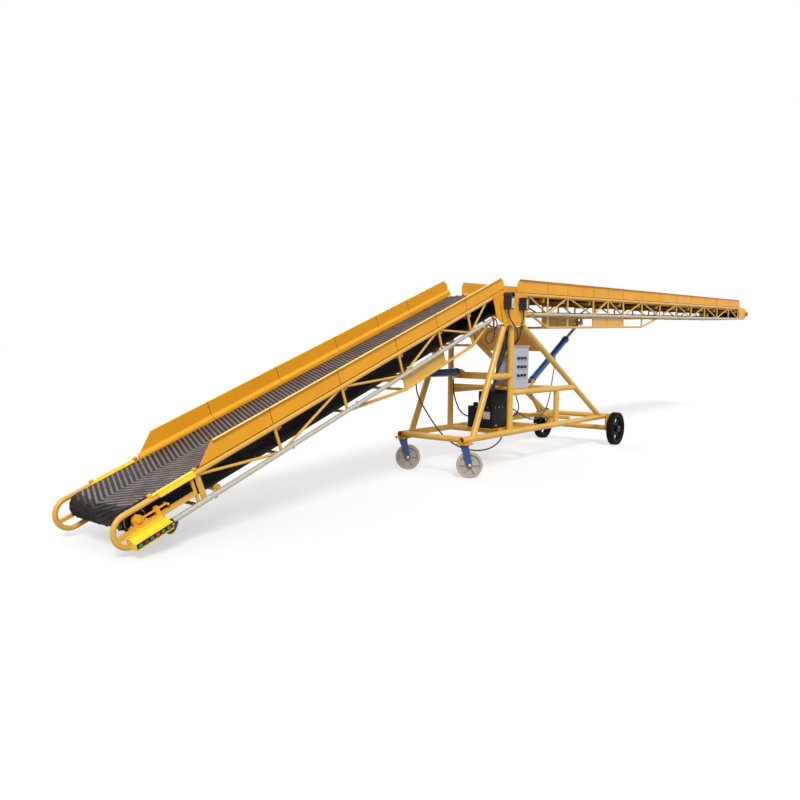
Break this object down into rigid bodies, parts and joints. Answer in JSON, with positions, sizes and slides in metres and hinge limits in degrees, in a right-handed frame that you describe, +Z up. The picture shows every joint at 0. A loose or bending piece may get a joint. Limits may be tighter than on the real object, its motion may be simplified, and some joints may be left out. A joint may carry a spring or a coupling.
{
  "type": "mobile belt conveyor",
  "caption": "Wheeled loading conveyor: a low feed boom and a long discharge boom with belts, hinged on a tube trolley and raised by hydraulic cylinders.",
  "frame": {"origin": "on the floor, midway along the whole length and across the width", "axes": "+X towards the discharge end, +Y to the far side of the trolley, +Z up"},
  "size_m": [16.2189, 1.378, 2.5988],
  "materials": {
    "yellow_paint": "brushed gloss enamel",
    "belt_rubber": "moulded black rubber",
    "tyre_rubber": "solid rubber",
    "black_paint": "satin black paint",
    "blue_paint": "gloss blue enamel",
    "nylon": "moulded nylon",
    "cabinet_grey": "powder coat",
    "black_plastic": "moulded plastic",
    "button_plastic": "moulded plastic",
    "steel": "turned steel",
    "chrome": "hard chrome",
    "galvanised": "galvanised steel",
    "hose_rubber": "black sheath"
  },
  "bodies": {
    "chassis": {"side_frame_near": "yellow_paint", "side_frame_far": "yellow_paint", "cross_members": "yellow_paint", "brace_plate": "yellow_paint", "pivot_cheeks": "yellow_paint", "pivot_shafts": "steel", "terminal_boxes": "black_plastic", "rear_axle": "yellow_paint", "switch_cabinet": "cabinet_grey", "cabinet_knobs": "black_plastic", "frame_brackets": "yellow_paint", "pack_tray": "yellow_paint", "oil_tank": "black_paint", "pump_cowl": "black_paint", "cylinder_brackets": "yellow_paint", "hinge_loop": "hose_rubber", "pack_bundle": "hose_rubber", "feed_box_lead": "hose_rubber", "discharge_box_lead": "hose_rubber", "feed_gland_hose": "hose_rubber", "feed_base_hose": "hose_rubber", "cabinet_cable": "hose_rubber", "discharge_gland_hose": "hose_rubber"},
    "feed_boom": {"feed_truss_near": "yellow_paint", "feed_truss_far": "yellow_paint", "feed_ties": "yellow_paint", "feed_lugs": "yellow_paint", "feed_skirts": "yellow_paint", "feed_end_plates": "yellow_paint", "feed_belt": "belt_rubber", "feed_rollers": "steel", "feed_drums": "steel", "tail_bearings": "yellow_paint", "button_box": "yellow_paint", "buttons": "button_plastic", "conduit": "galvanised", "guard_strips": "yellow_paint"},
    "discharge_boom": {"discharge_truss_near": "yellow_paint", "discharge_truss_far": "yellow_paint", "discharge_ties": "yellow_paint", "discharge_lugs": "yellow_paint", "discharge_skirts": "yellow_paint", "discharge_end_plates": "yellow_paint", "discharge_belt": "belt_rubber", "discharge_rollers": "steel", "discharge_drums": "steel", "discharge_conduit": "galvanised", "head_bearings": "yellow_paint"},
    "feed_barrel": {"feed_barrel": "blue_paint"},
    "feed_rod": {"feed_rod": "chrome"},
    "discharge_barrel": {"discharge_barrel": "blue_paint"},
    "discharge_rod": {"discharge_rod": "chrome"},
    "caster_fork_near": {"caster_fork_near": "blue_paint"},
    "caster_wheel_near": {"caster_wheel_near": "nylon"},
    "rear_wheel_near": {"rear_tyre_near": "tyre_rubber", "rear_rim_near": "black_paint"},
    "caster_fork_far": {"caster_fork_far": "blue_paint"},
    "caster_wheel_far": {"caster_wheel_far": "nylon"},
    "rear_wheel_far": {"rear_tyre_far": "tyre_rubber", "rear_rim_far": "black_paint"}
  },
  "joints": [
    {"name": "feed_boom_tilt", "type": "hinge", "parent": "chassis", "child": "feed_boom", "pos_m": [-3.01643, 0, 2.028], "axis": [0, 1, 0], "range_deg": [0, 20]},
    {"name": "discharge_boom_tilt", "type": "hinge", "parent": "chassis", "child": "discharge_boom", "pos_m": [-2.65443, 0, 2.028], "axis": [0, -1, 0], "range_deg": [0, 12]},
    {"name": "feed_barrel_swing", "type": "hinge", "parent": "chassis", "child": "feed_barrel", "pos_m": [-2.97043, 0.23, 1.176], "axis": [0, 1, 0], "range_deg": [0, 18.61]},
    {"name": "feed_rod_stroke", "type": "slide", "parent": "feed_barrel", "child": "feed_rod", "axis": [-0.9998, 0, -0.0177], "range_m": [0, 0.2996]},
    {"name": "discharge_barrel_swing", "type": "hinge", "parent": "chassis", "child": "discharge_barrel", "pos_m": [-1.50543, 0, 1.01], "axis": [0, 1, 0], "range_deg": [-14.39, 0]},
    {"name": "discharge_rod_stroke", "type": "slide", "parent": "discharge_barrel", "child": "discharge_rod", "axis": [0.8675, 0, 0.4974], "range_m": [0, 0.31744]},
    {"name": "caster_swivel_near", "type": "hinge", "parent": "chassis", "child": "caster_fork_near", "pos_m": [-3.82543, -0.45, 0.3554], "axis": [0, 0, 1], "continuous": true},
    {"name": "caster_spin_near", "type": "hinge", "parent": "caster_fork_near", "child": "caster_wheel_near", "pos_m": [-3.78767, -0.49663, 0.15], "axis": [0.7771, 0.6293, 0], "continuous": true},
    {"name": "caster_swivel_far", "type": "hinge", "parent": "chassis", "child": "caster_fork_far", "pos_m": [-3.82543, 0.45, 0.3554], "axis": [0, 0, 1], "continuous": true},
    {"name": "caster_spin_far", "type": "hinge", "parent": "caster_fork_far", "child": "caster_wheel_far", "pos_m": [-3.78767, 0.40337, 0.15], "axis": [0.7771, 0.6293, 0], "continuous": true},
    {"name": "rear_wheel_spin_near", "type": "hinge", "parent": "chassis", "child": "rear_wheel_near", "pos_m": [0.05457, -0.62, 0.25], "axis": [0, 1, 0], "continuous": true},
    {"name": "rear_wheel_spin_far", "type": "hinge", "parent": "chassis", "child": "rear_wheel_far", "pos_m": [0.05457, 0.62, 0.25], "axis": [0, 1, 0], "continuous": true}
  ],
  "couplings": [
    {"joint": "feed_barrel_swing", "follows": "feed_boom_tilt", "ratio": 0.91222},
    {"joint": "feed_rod_stroke", "follows": "feed_boom_tilt", "m_per_rad": 0.84146},
    {"joint": "discharge_barrel_swing", "follows": "discharge_boom_tilt", "ratio": -1.1757},
    {"joint": "discharge_rod_stroke", "follows": "discharge_boom_tilt", "m_per_rad": 1.4859}
  ]
}
